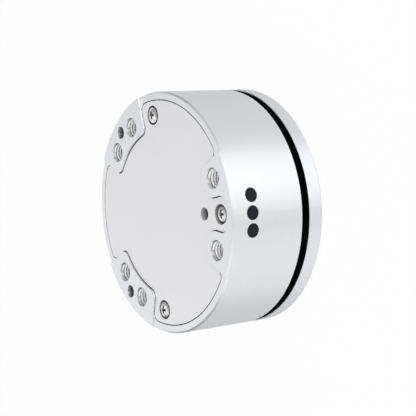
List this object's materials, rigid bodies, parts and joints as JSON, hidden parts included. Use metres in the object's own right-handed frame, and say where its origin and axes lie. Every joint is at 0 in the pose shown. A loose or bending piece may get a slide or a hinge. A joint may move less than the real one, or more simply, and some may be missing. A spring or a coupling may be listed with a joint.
{
  "type": "force torque sensor",
  "caption": "Round metal force torque sensor: raised mounting pads and a screwed cover on one face, dark status windows, a sealed gap, and a tool flange held on a strain-gauged cross.",
  "frame": {"origin": "centre of the tool flange's outer face, which the sensor rests on", "axes": "+Z along the sensor's axis, from the tool side to the robot side; +X towards the status windows, with the connector at -X"},
  "size_m": [0.0821, 0.077, 0.0346],
  "materials": {
    "body_aluminium": "fine satin, clear anodised",
    "cover_aluminium": "matte, clear anodised",
    "flange_aluminium": "fine satin, clear anodised",
    "cross_aluminium": "milled, bare",
    "bright_steel": "polished",
    "insert_steel": "drawn wire",
    "dark_steel": "black oxide",
    "seal_black": "matte",
    "gasket_grey": "matte",
    "gauge_foil": "thin film",
    "lead_film": "thin film",
    "standoff_brass": "turned",
    "board_green": "solder resist",
    "chip_black": "moulded",
    "capacitor_tan": "fired",
    "light_white": "clear moulded",
    "window_smoke": "smoked, smooth",
    "socket_nickel": "nickel plated",
    "socket_black": "moulded",
    "contact_gold": "gold plated"
  },
  "bodies": {
    "root": {"body_housing": "body_aluminium", "thread_inserts": "insert_steel", "cover_plate": "cover_aluminium", "cover_gasket": "gasket_grey", "cover_screws": "bright_steel", "tool_flange": "flange_aluminium", "tool_inserts": "insert_steel", "gap_seal": "seal_black", "measuring_cross": "cross_aluminium", "strain_gauges": "gauge_foil", "gauge_leads": "lead_film", "hub_screws": "dark_steel", "hub_dowels": "bright_steel", "rim_screws": "dark_steel", "stop_pins": "bright_steel", "lower_standoffs": "standoff_brass", "signal_board": "board_green", "amplifier_chips": "chip_black", "converter_chip": "chip_black", "board_header": "chip_black", "board_capacitors": "capacitor_tan", "upper_standoffs": "standoff_brass", "interface_board": "board_green", "processor_chip": "chip_black", "network_chip": "chip_black", "board_crystal": "bright_steel", "board_screws": "dark_steel", "light_board": "board_green", "status_lights": "light_white", "status_windows": "window_smoke", "socket_shell": "socket_nickel", "socket_insert": "socket_black", "socket_contacts": "contact_gold", "socket_washer": "seal_black", "socket_board": "board_green", "socket_ribbon": "lead_film"}
  },
  "joints": []
}
